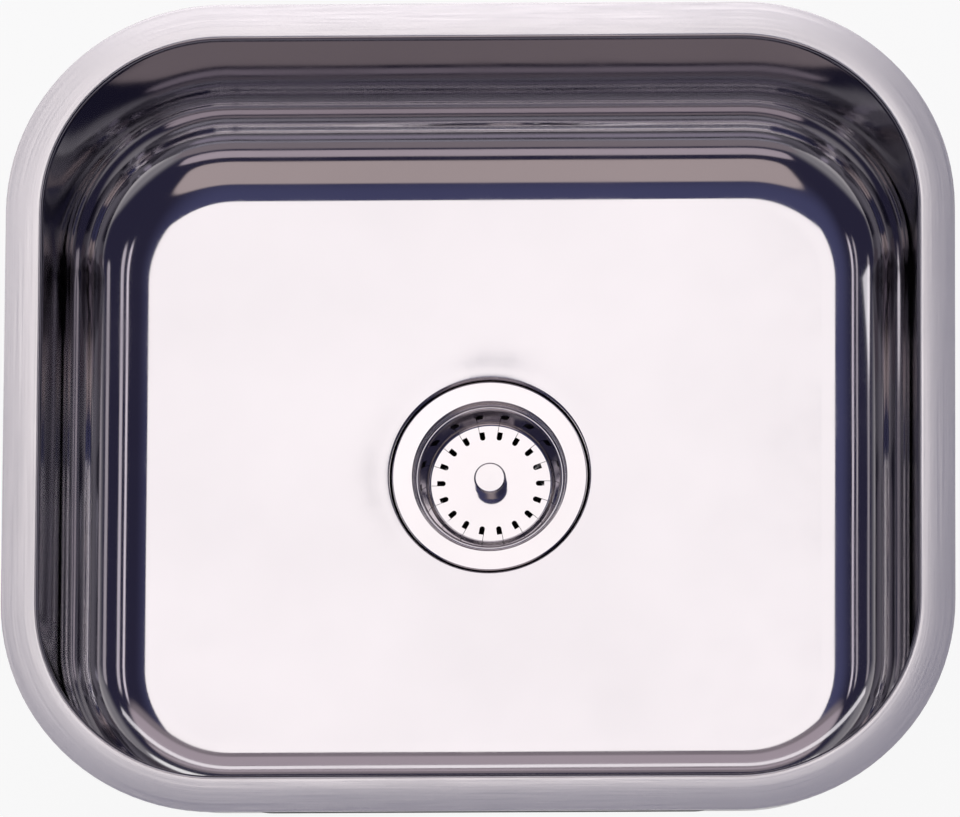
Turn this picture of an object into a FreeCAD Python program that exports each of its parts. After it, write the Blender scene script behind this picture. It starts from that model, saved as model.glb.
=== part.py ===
import FreeCAD, Part
import math
import os
import re
import Sketcher
from FreeCAD import Placement, Rotation, Vector

# A single-bowl stainless steel sink for mounting under a worktop, with the
# basket strainer waste in its drain. The origin is the middle of the flange's
# top face; +Z points up, +X along the sink and +Y to its back.

# Every size in millimetres, angles in degrees. Radii are named as radii.
SIZES = [
    # bowl
    ("rim_length", 530.0, "flange, outside, left to right"),
    ("rim_width", 466.0, "flange, outside, front to back"),
    ("rim_corner", 120.0, "corner radius of the flange"),
    ("flange_width", 21.0, "edge of the flange to the wall of the bowl"),
    ("bowl_sheet", 1.0, "steel sheet of the bowl"),
    ("lip_radius", 3.0, "bend from the flange into the wall"),
    ("wall_draft", 3.0, "lean of the walls"),
    ("floor_depth", 148.0, "flange top to the flat of the floor"),
    ("floor_fillet", 45.0, "bend from the wall into the floor"),
    ("dish_radius", 115.0, "shallow dish round the drain"),
    ("dish_fall", 2.0, "fall of the dish"),
    ("recess_gap", 0.6, "strainer flange to the foot of the recess's side"),
    ("recess_depth", 4.0, "pressed recess for the strainer, below the dish"),
    ("recess_slope", 1.4, "sloping side of the recess, as seen from above"),
    ("drain_gap", 0.7, "room round the strainer cup in the floor's hole"),
    # sound pads under the bowl
    ("pad_thickness", 2.5, "rubber sound pads"),
    ("side_pad_height", 72.0, "wall pads, up the wall"),
    ("side_pad_drop", 58.0, "flange top to the middle of a wall pad"),
    ("long_pad_length", 250.0, "pads on the front and back wall"),
    ("short_pad_length", 190.0, "pads on the end walls"),
    ("floor_pad_width", 58.0, "floor pads, along the sink"),
    ("floor_pad_length", 200.0, "floor pads, front to back"),
    ("floor_pad_gap", 8.0, "edge of the dish to a floor pad"),
    # strainer cup and its seal
    ("seal_thickness", 1.0, "seal under the strainer flange"),
    ("seal_margin", 1.5, "seal inside the strainer flange"),
    ("cup_sheet", 0.8, "steel sheet of the strainer cup"),
    ("cup_mouth_radius", 43.5, "mouth of the strainer cup"),
    ("cup_flange_width", 11.5, "strainer flange, mouth to edge"),
    ("cup_lip", 0.8, "bevel at the mouth"),
    ("ledge_depth", 5.5, "flange top to the ledge of the cup"),
    ("ledge_width", 2.7, "ledge that the basket hangs on"),
    ("cup_depth", 40.0, "flange top to the bottom of the cup"),
    ("cup_floor_bevel", 4.0, "bevel into the bottom of the cup"),
    ("outflow_radius", 5.0, "outflow holes in the bottom of the cup"),
    ("outflow_gap", 2.5, "sealing washer to the outflow holes"),
    # clamping screw, its washer and its nut
    ("screw_radius", 6.0, "clamping screw, over its thread"),
    ("screw_hole_gap", 0.4, "room round the screw in cup and hub"),
    ("screw_head_across", 18.0, "hexagon head, across its flats"),
    ("screw_head_height", 3.0, "hexagon head"),
    ("screw_length", 22.0, "under its head"),
    ("socket_gap", 0.8, "room round the stem in the screw's socket"),
    ("socket_end_gap", 2.3, "room below the stem in the screw's socket"),
    ("washer_width", 4.1, "sealing washer, bore to edge"),
    ("washer_thickness", 1.2, "sealing washer"),
    ("insert_wall", 2.9, "brass insert, thread to outside"),
    ("insert_length", 12.0, "brass insert"),
    ("insert_drop", 2.0, "top of the hub to the insert"),
    ("thread_gap", 0.1, "play in the thread and round the insert"),
    # waste body under the bowl
    ("gasket_thickness", 3.0, "gasket between bowl and waste body"),
    ("gasket_margin", 0.5, "room inside the gasket"),
    ("body_gap", 1.2, "room round the strainer cup in the waste body"),
    ("body_wall", 3.0, "wall of the waste body"),
    ("body_rim_overhang", 4.5, "rim of the waste body beyond its wall"),
    ("body_rim_height", 6.0, "rim of the waste body"),
    ("funnel_drop", 18.0, "funnel down to the outlet"),
    ("outlet_radius", 23.9, "outlet, over its thread"),
    ("outlet_wall", 3.9, "outlet, thread to bore"),
    ("outlet_length", 26.0, "outlet tube"),
    ("hub_wall", 3.4, "hub that takes the clamping screw"),
    ("hub_length", 17.0, "hub"),
    ("web_drop", 3.0, "cup to the webs below it"),
    ("web_thickness", 3.0, "webs that hold the hub"),
    ("web_height", 11.0, "webs that hold the hub"),
    ("web_bite", 1.0, "webs let into hub and wall"),
    # basket
    ("basket_sheet", 0.6, "steel sheet of the basket"),
    ("seat_gap", 0.3, "basket and stopper above their seats"),
    ("rim_gap", 0.6, "room round the basket rim"),
    ("basket_gap", 0.8, "room round the basket wall at the ledge"),
    ("basket_depth", 11.5, "rim top to the basket floor"),
    ("basket_taper", 4.0, "basket narrower at its floor, each side"),
    ("basket_bevel", 2.0, "bevel into the basket floor"),
    ("slot_width", 3.0, "slots in the basket floor"),
    ("slot_reach", 9.9, "inner ends of the slots in from the basket wall"),
    ("slot_length", 4.8, "slots, from the rounded inner end to the square outer end"),
    # knob, stem and stopper
    ("knob_radius", 9.0, "knob"),
    ("knob_height", 12.5, "knob"),
    ("knob_edge", 0.8, "bevelled edge of the knob"),
    ("knob_cap", 4.5, "knob above its threaded hole"),
    ("stem_radius", 2.5, "stem, over its thread"),
    ("stem_gap", 0.1, "room round the stem in what it carries"),
    ("stem_end_gap", 0.5, "room above the stem in the knob"),
    ("spacer_wall", 1.9, "spacer tube"),
    ("plate_radius", 16.0, "steel disc on the stopper"),
    ("plate_thickness", 1.0, "steel disc on the stopper"),
    ("stopper_cover", 5.5, "stopper beyond the outflow holes"),
    ("stopper_lip", 3.0, "height of the sealing lip"),
    ("stopper_lip_width", 2.0, "sealing lip beyond the shoulder"),
    ("stopper_web", 3.0, "rubber between disc and nut"),
    ("stopper_skirt", 2.6, "rubber of the skirt"),
    ("nut_across", 8.0, "stem nut, across its flats"),
    ("nut_height", 2.7, "stem nut"),
    ("nut_room", 0.9, "head of the clamping screw to the stem nut"),
    ("groove_depth", 0.7, "groove in the stem for the bush"),
    ("groove_drop", 3.0, "foot of the nut to the groove"),
    ("stem_head_height", 1.4, "end of the stem below the groove"),
    ("bush_length", 9.0, "bush in the groove"),
    ("bush_slit", 1.0, "slit of the bush"),
    ("bush_play", 0.1, "end play of the bush"),
    ("bush_fit", 0.05, "running fit of the stem in the bush"),
    ("socket_fit", 0.1, "sliding fit of the bush in the socket"),
    # one overrun serves every cut
    ("overrun", 5.0, "cuts run past the material"),
]

# Counts.
SLOT_COUNT = 18
OUTFLOW_COUNT = 8
WEB_COUNT = 4

# Points closer together than this share of the sheet are one place.
SAME_PLACE_SHARE = 0.001

# Radii and heights that follow from the sizes.
LEVELS = [
    ("wall_length", "rim_length - 2 * flange_width"),
    ("wall_width", "rim_width - 2 * flange_width"),
    ("wall_corner", "rim_corner - flange_width"),
    ("cup_flange_radius", "cup_mouth_radius + cup_flange_width"),
    ("ledge_radius", "cup_mouth_radius - ledge_width"),
    ("drain_radius", "cup_mouth_radius + cup_sheet + drain_gap"),
    ("recess_radius", "cup_flange_radius + recess_gap + recess_slope"),
    ("washer_radius", "screw_radius + screw_hole_gap + washer_width"),
    ("insert_radius", "screw_radius + thread_gap + insert_wall"),
    ("hub_radius", "insert_radius + thread_gap + hub_wall"),
    ("outflow_ring", "washer_radius + outflow_gap + outflow_radius"),
    ("body_bore_radius", "cup_mouth_radius + cup_sheet + body_gap"),
    ("body_radius", "body_bore_radius + body_wall"),
    ("body_rim_radius", "body_radius + body_rim_overhang"),
    ("outlet_bore_radius", "outlet_radius - outlet_wall"),
    ("basket_rim_radius", "cup_mouth_radius - rim_gap"),
    ("basket_mouth_radius", "ledge_radius - basket_sheet - basket_gap"),
    ("basket_floor_radius", "basket_mouth_radius - basket_taper"),
    ("slot_ring", "basket_floor_radius - slot_reach"),
    ("slot_end", "slot_ring + slot_length"),
    ("stem_room", "stem_radius + stem_gap"),
    ("groove_radius", "stem_radius - groove_depth"),
    ("socket_radius", "stem_radius + socket_gap"),
    ("bush_radius", "socket_radius - socket_fit"),
    ("bush_bore", "groove_radius + bush_fit"),
    ("spacer_radius", "stem_room + spacer_wall"),
    ("stopper_radius", "outflow_ring + outflow_radius + stopper_cover"),
    ("stopper_shoulder", "stopper_radius - stopper_lip_width"),
    ("floor_level", "-floor_depth"),
    ("drain_level", "floor_level - dish_fall"),
    ("recess_level", "drain_level - recess_depth"),
    ("under_level", "recess_level - bowl_sheet"),
    ("seal_top", "recess_level + seal_thickness"),
    ("cup_top", "seal_top + cup_sheet"),
    ("ledge_level", "cup_top - ledge_depth"),
    ("cup_floor", "cup_top - cup_depth"),
    ("cup_foot", "cup_floor - cup_sheet"),
    ("washer_top", "cup_floor + washer_thickness"),
    ("head_top", "washer_top + screw_head_height"),
    ("insert_top", "cup_foot - insert_drop"),
    ("insert_foot", "insert_top - insert_length"),
    ("hub_foot", "cup_foot - hub_length"),
    ("body_top", "under_level - gasket_thickness"),
    ("funnel_top", "cup_foot - web_drop"),
    ("funnel_foot", "funnel_top - funnel_drop"),
    ("outlet_foot", "funnel_foot - outlet_length"),
    ("web_foot", "funnel_top - web_height"),
    ("web_reach", "outlet_bore_radius + (body_bore_radius - outlet_bore_radius)"
     " * (funnel_drop - web_height) / funnel_drop + web_bite"),
    ("rim_foot", "ledge_level + seat_gap"),
    ("rim_top", "rim_foot + basket_sheet"),
    ("basket_floor", "rim_top - basket_depth"),
    ("basket_foot", "basket_floor - basket_sheet"),
    ("knob_top", "basket_floor + knob_height"),
    ("knob_hole_top", "knob_top - knob_cap"),
    ("stem_top", "knob_hole_top - stem_end_gap"),
    ("stopper_foot", "cup_floor + seat_gap"),
    ("nut_foot", "head_top + nut_room"),
    ("web_level", "nut_foot + nut_height"),
    ("stopper_top", "web_level + stopper_web"),
    ("plate_top", "stopper_top + plate_thickness"),
    ("groove_top", "nut_foot - groove_drop"),
    ("bush_top", "groove_top - bush_play"),
    ("bush_foot", "bush_top - bush_length"),
    ("groove_foot", "bush_foot - bush_play"),
    ("stem_foot", "groove_foot - stem_head_height"),
    ("socket_depth", "head_top - stem_foot + socket_end_gap"),
    ("cup_miter", "cup_sheet * tan(22.5)"),
    ("basket_miter", "basket_sheet * tan(22.5)"),
]

doc = FreeCAD.newDocument("sink")
sizes = doc.addObject("Spreadsheet::Sheet", "sizes")
levels = doc.addObject("Spreadsheet::Sheet", "levels")
reading = doc.addObject("Spreadsheet::Sheet", "reading")
SHEET_OF = {}
for row, (alias, value, note) in enumerate(SIZES, start=1):
    sizes.set("A%d" % row, note)
    sizes.set("B%d" % row, str(value))
    sizes.setAlias("B%d" % row, alias)
    SHEET_OF[alias] = "sizes." + alias


def named(text):
    """An expression with every size and level named on its sheet."""
    return re.sub(r"[A-Za-z_]\w*", lambda m: SHEET_OF.get(m.group(0), m.group(0)), text)


for row, (alias, text) in enumerate(LEVELS, start=1):
    levels.set("A%d" % row, alias)
    levels.set("B%d" % row, "=" + re.sub(r"levels\.", "", named(text)))
    levels.setAlias("B%d" % row, alias)
    SHEET_OF[alias] = "levels." + alias
doc.recompute()


def figure(text):
    """The number that an expression gives now."""
    reading.set("A1", "=" + named(text))
    reading.recompute()
    return float(reading.get("A1"))


same_place = figure("bowl_sheet") * SAME_PLACE_SHARE


def new_body(label):
    body = doc.addObject("PartDesign::Body", label)
    body.Label = label
    return body


def sketch_on(body, role, name, level=None):
    """An empty sketch on one of the body's own planes, raised to a level."""
    sketch = body.newObject("Sketcher::SketchObject", name)
    support = next(f for f in body.Origin.OriginFeatures if f.Role == role)
    sketch.AttachmentSupport = [(support, "")]
    sketch.MapMode = "FlatFace"
    if level is not None:
        sketch.setExpression("AttachmentOffset.Base.z", named(level))
    return sketch


def hold(sketch, kind, *geometry, text):
    """A dimension of the sketch that follows an expression."""
    index = sketch.addConstraint(Sketcher.Constraint(kind, *geometry, figure(text)))
    sketch.setExpression("Constraints[%d]" % index, named(text))


def outline(body, role, name, points, level=None):
    """A closed outline of straight lines, each corner held by two dimensions."""
    sketch = sketch_on(body, role, name, level)
    spots = [Vector(figure(x), figure(y), 0) for x, y in points]
    count = len(spots)
    for i in range(count):
        sketch.addGeometry(Part.LineSegment(spots[i], spots[(i + 1) % count]), False)
    for i in range(count):
        sketch.addConstraint(Sketcher.Constraint("Coincident", i, 2, (i + 1) % count, 1))
    for i, (x, y) in enumerate(points):
        hold(sketch, "DistanceX", -1, 1, i, 1, text=x)
        hold(sketch, "DistanceY", -1, 1, i, 1, text=y)
    return sketch


def round_corners(body, role, name, length, width, corner, level=None):
    """A rectangle with round corners about the middle."""
    sketch = sketch_on(body, role, name, level)
    a, b, r = figure(length) / 2, figure(width) / 2, figure(corner)
    turns = [(a - r, r - b), (a - r, b - r), (r - a, b - r), (r - a, r - b)]
    starts = [(r - a, -b), (a, r - b), (a - r, b), (-a, b - r)]
    ends = [(a - r, -b), (a, b - r), (r - a, b), (-a, r - b)]
    for k in range(4):
        sketch.addGeometry(Part.LineSegment(Vector(*starts[k], 0), Vector(*ends[k], 0)), False)
        ring = Part.Circle(Vector(*turns[k], 0), Vector(0, 0, 1), r)
        first = math.radians(90 * k - 90)
        sketch.addGeometry(Part.ArcOfCircle(ring, first, first + math.pi / 2), False)
    for i in range(8):
        sketch.addConstraint(Sketcher.Constraint("Tangent", i, 2, (i + 1) % 8, 1))
    for side in (0, 4):
        sketch.addConstraint(Sketcher.Constraint("Horizontal", side))
    for side in (2, 6):
        sketch.addConstraint(Sketcher.Constraint("Vertical", side))
    for arc in (3, 5, 7):
        sketch.addConstraint(Sketcher.Constraint("Equal", 1, arc))
    sketch.addConstraint(Sketcher.Constraint("Symmetric", 3, 3, 7, 3, -1, 1))
    hold(sketch, "Radius", 1, text=corner)
    hold(sketch, "DistanceX", 6, 1, 2, 1, text=length)
    hold(sketch, "DistanceY", 0, 1, 4, 1, text=width)
    return sketch


def circle_at(body, name, across, up, radius, level):
    """A circle on the level, held by its radius and the place of its middle."""
    sketch = sketch_on(body, "XY_Plane", name, level)
    spot = Vector(figure(across), figure(up), 0)
    sketch.addGeometry(Part.Circle(spot, Vector(0, 0, 1), figure(radius)), False)
    hold(sketch, "DistanceX", -1, 1, 0, 3, text=across)
    hold(sketch, "DistanceY", -1, 1, 0, 3, text=up)
    hold(sketch, "Radius", 0, text=radius)
    return sketch


def hexagon(body, name, across, level):
    """A hexagon by the width across its flats."""
    flat = "(%s) / 2" % across
    point = "(%s) / (2 * cos(30))" % across
    corners = [(point, "0"), (point + " / 2", flat), ("-" + point + " / 2", flat),
               ("-" + point, "0"), ("-" + point + " / 2", "-" + flat), (point + " / 2", "-" + flat)]
    return outline(body, "XY_Plane", name, corners, level)


def padded(body, sketch, length, down=False, mid=False):
    pad = body.newObject("PartDesign::Pad", sketch.Name + "_pad")
    pad.Profile = sketch
    pad.setExpression("Length", named(length))
    pad.Reversed = down
    pad.Midplane = mid
    doc.recompute()
    return pad


def pocketed(body, sketch, length):
    cut = body.newObject("PartDesign::Pocket", sketch.Name + "_pocket")
    cut.Profile = sketch
    cut.setExpression("Length", named(length))
    before = body.Shape.Volume
    doc.recompute()
    if not cut.Shape.Volume < before:
        raise RuntimeError("nothing cut by " + cut.Name)
    return cut


def turned(body, name, points):
    """The section turned about the vertical axis."""
    sketch = outline(body, "XZ_Plane", name, points)
    turn = body.newObject("PartDesign::Revolution", name + "_turn")
    turn.Profile = sketch
    turn.ReferenceAxis = (sketch, ["V_Axis"])
    turn.Angle = 360
    doc.recompute()
    return turn


def repeated(body, feature, sketch, axis, count):
    pattern = body.newObject("PartDesign::PolarPattern", feature.Name + "_ring")
    pattern.Originals = [feature]
    pattern.Axis = (sketch, [axis])
    pattern.Angle = 360
    pattern.Occurrences = count
    body.Tip = pattern
    doc.recompute()
    return pattern


def treated(body, kind, name, prop, size, wanted):
    """The body's wanted edges rounded or bevelled."""
    base = body.Tip
    picked = ["Edge%d" % (i + 1) for i, edge in enumerate(base.Shape.Edges) if wanted(edge)]
    if not picked:
        raise RuntimeError("no edge for " + name)
    feature = body.newObject("PartDesign::" + kind, name)
    feature.Base = (base, picked)
    feature.setExpression(prop, named(size))
    doc.recompute()
    return feature


def at_level(level, length, width):
    """A test for edges in a level, inside a rectangle about the middle."""
    z, a, b = figure(level), figure(length) / 2, figure(width) / 2

    def found(edge):
        ends = [vertex.Point for vertex in edge.Vertexes]
        flat = all(abs(p.z - z) < same_place for p in ends)
        return flat and all(abs(p.x) < a and abs(p.y) < b for p in ends)
    return found


def pressed(name, grow, shed):
    """One face of the drawn bowl as a solid: tapered walls, bent floor, dish."""
    body = new_body(name)
    walls = round_corners(body, "XY_Plane", name + "_walls", "wall_length + 2 * " + grow,
                          "wall_width + 2 * " + grow, "wall_corner + " + grow)
    pad = padded(body, walls, "floor_depth + " + grow, down=True)
    pad.setExpression("TaperAngle", named("-wall_draft"))
    doc.recompute()
    treated(body, "Fillet", name + "_floor_bend", "Radius", "floor_fillet + " + grow,
            at_level("floor_level - " + grow, "rim_length", "rim_width"))
    well = [("0", "floor_level - " + grow), ("dish_radius", "floor_level - " + grow),
            ("recess_radius + " + grow, "drain_level - " + grow),
            ("recess_radius - recess_slope + " + grow, "recess_level - " + grow)]
    if shed:
        well += [("drain_radius", "recess_level"), ("drain_radius", "under_level - overrun"),
                 ("0", "under_level - overrun")]
    else:
        well += [("0", "recess_level - " + grow)]
    turned(body, name + "_well", well)
    rim = round_corners(body, "XY_Plane", name + "_rim", "rim_length", "rim_width", "rim_corner")
    inside = ("rim_length - flange_width", "rim_width - flange_width")
    if shed:
        padded(body, rim, "overrun")
        treated(body, "Fillet", name + "_lip", "Radius", "lip_radius", at_level("0", *inside))
    else:
        padded(body, rim, "bowl_sheet", down=True)
        treated(body, "Chamfer", name + "_lip", "Size", "lip_radius - bowl_sheet",
                at_level("-bowl_sheet", *inside))
    return body


# The bowl: its outside less its inside leaves the drawn sheet.
bowl_outside = pressed("bowl_outside", "bowl_sheet", False)
bowl_inside = pressed("bowl_inside", "0", True)
bowl = doc.addObject("Part::Cut", "bowl")
bowl.Base = bowl_outside
bowl.Tool = bowl_inside
doc.recompute()


def sound_pad(label, length, width):
    """A flat rubber pad, its glued face upwards at zero."""
    body = new_body(label)
    far, back = length + " / 2", width + " / 2"
    corners = [("-" + far, "-" + back), (far, "-" + back), (far, back), ("-" + far, back)]
    padded(body, outline(body, "XY_Plane", label + "_outline", corners), "pad_thickness", down=True)
    return body


def wall_pad(label, turn, wall, length):
    """A pad glued to the outside of a wall, which leans by the draft."""
    body = sound_pad(label, length, "side_pad_height")
    lean = figure("wall_draft")
    body.Placement = Placement(Vector(), Rotation(Vector(0, 0, 1), turn)).multiply(
        Placement(Vector(), Rotation(Vector(1, 0, 0), lean - 90)))
    reach = "((%s) / 2 + bowl_sheet - side_pad_drop * tan(wall_draft))" % wall
    body.setExpression("Placement.Base.x", named("%s * %d" % (reach, round(math.sin(math.radians(turn))))))
    body.setExpression("Placement.Base.y", named("%s * %d" % (reach, -round(math.cos(math.radians(turn))))))
    body.setExpression("Placement.Base.z", named("-side_pad_drop"))
    return body


front_pad = wall_pad("front_pad", 0, "wall_width", "long_pad_length")
right_pad = wall_pad("right_pad", 90, "wall_length", "short_pad_length")
back_pad = wall_pad("back_pad", 180, "wall_width", "long_pad_length")
left_pad = wall_pad("left_pad", 270, "wall_length", "short_pad_length")
floor_pads = []
for label, side in (("floor_pad_left", -1), ("floor_pad_right", 1)):
    pad = sound_pad(label, "floor_pad_width", "floor_pad_length")
    pad.setExpression("Placement.Base.x", named("(dish_radius + floor_pad_gap + floor_pad_width / 2) * %d" % side))
    pad.setExpression("Placement.Base.z", named("floor_level - bowl_sheet"))
    floor_pads.append(pad)


def washer(label, bore, radius, foot, top):
    """A flat ring."""
    body = new_body(label)
    turned(body, label + "_section", [(bore, foot), (radius, foot), (radius, top), (bore, top)])
    return body


# The strainer cup hangs in the drain by its flange, on a soft seal.
flange_seal = washer("flange_seal", "drain_radius", "cup_flange_radius - seal_margin",
                     "recess_level", "seal_top")
strainer_cup = new_body("strainer_cup")
turned(strainer_cup, "cup_section", [
    ("cup_flange_radius", "cup_top"),
    ("cup_mouth_radius + cup_lip", "cup_top"),
    ("cup_mouth_radius", "cup_top - cup_lip"),
    ("cup_mouth_radius", "ledge_level"),
    ("ledge_radius", "ledge_level"),
    ("ledge_radius", "cup_floor + cup_floor_bevel"),
    ("ledge_radius - cup_floor_bevel", "cup_floor"),
    ("screw_radius + screw_hole_gap", "cup_floor"),
    ("screw_radius + screw_hole_gap", "cup_foot"),
    ("ledge_radius - cup_floor_bevel + cup_miter", "cup_foot"),
    ("ledge_radius + cup_sheet", "cup_floor + cup_floor_bevel - cup_miter"),
    ("ledge_radius + cup_sheet", "ledge_level - cup_sheet"),
    ("cup_mouth_radius + cup_sheet", "ledge_level - cup_sheet"),
    ("cup_mouth_radius + cup_sheet", "seal_top"),
    ("cup_flange_radius", "seal_top"),
])
outflow = circle_at(strainer_cup, "outflow_hole", "outflow_ring", "0", "outflow_radius", "cup_floor")
outflow_cut = pocketed(strainer_cup, outflow, "cup_sheet + overrun")
repeated(strainer_cup, outflow_cut, outflow, "N_Axis", OUTFLOW_COUNT)

# A hollow screw through the cup draws the waste body up under the bowl.
screw_washer = washer("screw_washer", "screw_radius + screw_hole_gap", "washer_radius",
                      "cup_floor", "washer_top")
clamp_screw = new_body("clamp_screw")
padded(clamp_screw, hexagon(clamp_screw, "screw_head", "screw_head_across", "washer_top"),
       "screw_head_height")
padded(clamp_screw, circle_at(clamp_screw, "screw_shank", "0", "0", "screw_radius", "washer_top"),
       "screw_length", down=True)
socket = circle_at(clamp_screw, "screw_socket", "0", "0", "socket_radius", "head_top")
pocketed(clamp_screw, socket, "socket_depth")
brass_insert = washer("brass_insert", "screw_radius + thread_gap", "insert_radius",
                      "insert_foot", "insert_top")

# The waste body, a funnel with a hub on webs, and its threaded outlet.
body_gasket = washer("body_gasket", "body_bore_radius + gasket_margin", "body_rim_radius - gasket_margin",
                     "body_top", "under_level")
waste_body = new_body("waste_body")
turned(waste_body, "body_section", [
    ("body_bore_radius", "body_top"),
    ("body_rim_radius", "body_top"),
    ("body_rim_radius", "body_top - body_rim_height"),
    ("body_radius", "body_top - body_rim_height"),
    ("body_radius", "funnel_top - body_wall / 2"),
    ("outlet_radius", "funnel_foot"),
    ("outlet_bore_radius", "funnel_foot"),
    ("body_bore_radius", "funnel_top"),
])
outlet_tube = washer("outlet_tube", "outlet_bore_radius", "outlet_radius", "outlet_foot", "funnel_foot")
web = outline(waste_body, "XZ_Plane", "hub_web", [
    ("hub_radius - web_bite", "funnel_top"),
    ("body_bore_radius + web_bite", "funnel_top"),
    ("web_reach", "web_foot"),
    ("hub_radius - web_bite", "web_foot"),
])
web_pad = padded(waste_body, web, "web_thickness", mid=True)
repeated(waste_body, web_pad, web, "V_Axis", WEB_COUNT)
turned(waste_body, "hub_section", [
    ("screw_radius + screw_hole_gap", "cup_foot"),
    ("hub_radius", "cup_foot"),
    ("hub_radius", "hub_foot"),
    ("insert_radius + thread_gap", "hub_foot"),
    ("insert_radius + thread_gap", "insert_top"),
    ("screw_radius + screw_hole_gap", "insert_top"),
])

# The basket hangs in the cup by its rim; a ring of short slots drains its floor.
basket = new_body("basket")
turned(basket, "basket_section", [
    ("basket_rim_radius", "rim_foot"),
    ("basket_rim_radius", "rim_top"),
    ("basket_mouth_radius", "rim_top"),
    ("basket_floor_radius", "basket_floor + basket_bevel"),
    ("basket_floor_radius - basket_bevel", "basket_floor"),
    ("stem_room", "basket_floor"),
    ("stem_room", "basket_foot"),
    ("basket_floor_radius - basket_bevel + basket_miter", "basket_foot"),
    ("basket_floor_radius + basket_sheet", "basket_floor + basket_bevel - basket_miter"),
    ("basket_mouth_radius + basket_sheet", "rim_foot"),
])
slot = sketch_on(basket, "XY_Plane", "basket_slot", "basket_floor")
half, near, far = figure("slot_width") / 2, figure("slot_ring + slot_width / 2"), figure("slot_end")
slot.addGeometry(Part.LineSegment(Vector(near, -half, 0), Vector(far, -half, 0)), False)
slot.addGeometry(Part.LineSegment(Vector(far, -half, 0), Vector(far, half, 0)), False)
slot.addGeometry(Part.LineSegment(Vector(far, half, 0), Vector(near, half, 0)), False)
slot_round = Part.Circle(Vector(near, 0, 0), Vector(0, 0, 1), half)
slot.addGeometry(Part.ArcOfCircle(slot_round, math.pi / 2, 3 * math.pi / 2), False)
slot.addConstraint(Sketcher.Constraint("Coincident", 0, 2, 1, 1))
slot.addConstraint(Sketcher.Constraint("Coincident", 1, 2, 2, 1))
slot.addConstraint(Sketcher.Constraint("Tangent", 2, 2, 3, 1))
slot.addConstraint(Sketcher.Constraint("Tangent", 3, 2, 0, 1))
slot.addConstraint(Sketcher.Constraint("Horizontal", 0))
slot.addConstraint(Sketcher.Constraint("Vertical", 1))
slot.addConstraint(Sketcher.Constraint("PointOnObject", 3, 3, -1))
hold(slot, "Radius", 3, text="slot_width / 2")
hold(slot, "DistanceX", -1, 1, 3, 3, text="slot_ring + slot_width / 2")
hold(slot, "DistanceX", -1, 1, 1, 1, text="slot_end")
slot_cut = pocketed(basket, slot, "basket_sheet + overrun")
repeated(basket, slot_cut, slot, "N_Axis", SLOT_COUNT)

# The knob stands in the basket; the stem below it carries spacer and stopper.
knob = new_body("knob")
turned(knob, "knob_section", [
    ("0", "knob_top"),
    ("knob_radius - knob_edge", "knob_top"),
    ("knob_radius", "knob_top - knob_edge"),
    ("knob_radius", "basket_floor"),
    ("stem_room", "basket_floor"),
    ("stem_room", "knob_hole_top"),
    ("0", "knob_hole_top"),
])
stem = new_body("stem")
turned(stem, "stem_section", [
    ("0", "stem_top"),
    ("stem_radius", "stem_top"),
    ("stem_radius", "groove_top"),
    ("groove_radius", "groove_top"),
    ("groove_radius", "groove_foot"),
    ("stem_radius", "groove_foot"),
    ("stem_radius", "stem_foot"),
    ("0", "stem_foot"),
])
stem_spacer = washer("stem_spacer", "stem_room", "spacer_radius", "plate_top", "basket_foot")
stopper_plate = washer("stopper_plate", "stem_room", "plate_radius", "stopper_top", "plate_top")
stopper = new_body("stopper")
turned(stopper, "stopper_section", [
    ("stem_room", "stopper_top"),
    ("stopper_shoulder", "stopper_top"),
    ("stopper_shoulder", "stopper_foot + stopper_lip"),
    ("stopper_radius", "stopper_foot"),
    ("stopper_shoulder - stopper_skirt", "stopper_foot"),
    ("stopper_shoulder - stopper_skirt", "web_level"),
    ("stem_room", "web_level"),
])
stem_nut = new_body("stem_nut")
padded(stem_nut, hexagon(stem_nut, "nut_outline", "nut_across", "web_level"), "nut_height", down=True)
nut_bore = circle_at(stem_nut, "nut_bore", "0", "0", "stem_room", "web_level")
pocketed(stem_nut, nut_bore, "nut_height + overrun")

# The slit bush on the stem clicks into the socket of the clamping screw.
stem_bush = washer("stem_bush", "bush_bore", "bush_radius", "bush_foot", "bush_top")
slit = outline(stem_bush, "XY_Plane", "bush_slit_outline", [
    ("0", "-bush_slit / 2"), ("bush_radius + overrun", "-bush_slit / 2"),
    ("bush_radius + overrun", "bush_slit / 2"), ("0", "bush_slit / 2"),
], "bush_top")
pocketed(stem_bush, slit, "bush_length + overrun")

NODES = [
    bowl, front_pad, right_pad, back_pad, left_pad, *floor_pads,
    flange_seal, strainer_cup, screw_washer, clamp_screw, brass_insert, body_gasket, waste_body,
    outlet_tube, basket, knob, stem, stem_spacer, stopper_plate, stopper, stem_nut, stem_bush,
]
doc.recompute()
for item in doc.Objects:
    if "Invalid" in item.State or "Error" in item.State:
        raise RuntimeError("not built: " + item.Name)
os.makedirs("parts", exist_ok=True)
for node in NODES:
    shape = node.Shape
    if shape.isNull() or not shape.isValid() or len(shape.Solids) != 1:
        raise RuntimeError("no sound solid: " + node.Name)
    node.Label = node.Name
    shape.exportStep("parts/%s.step" % node.Name)
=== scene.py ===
import math

import bmesh
import bpy
from bpy.props import FloatProperty, FloatVectorProperty, IntProperty, PointerProperty
from mathutils import Matrix, Vector


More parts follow.
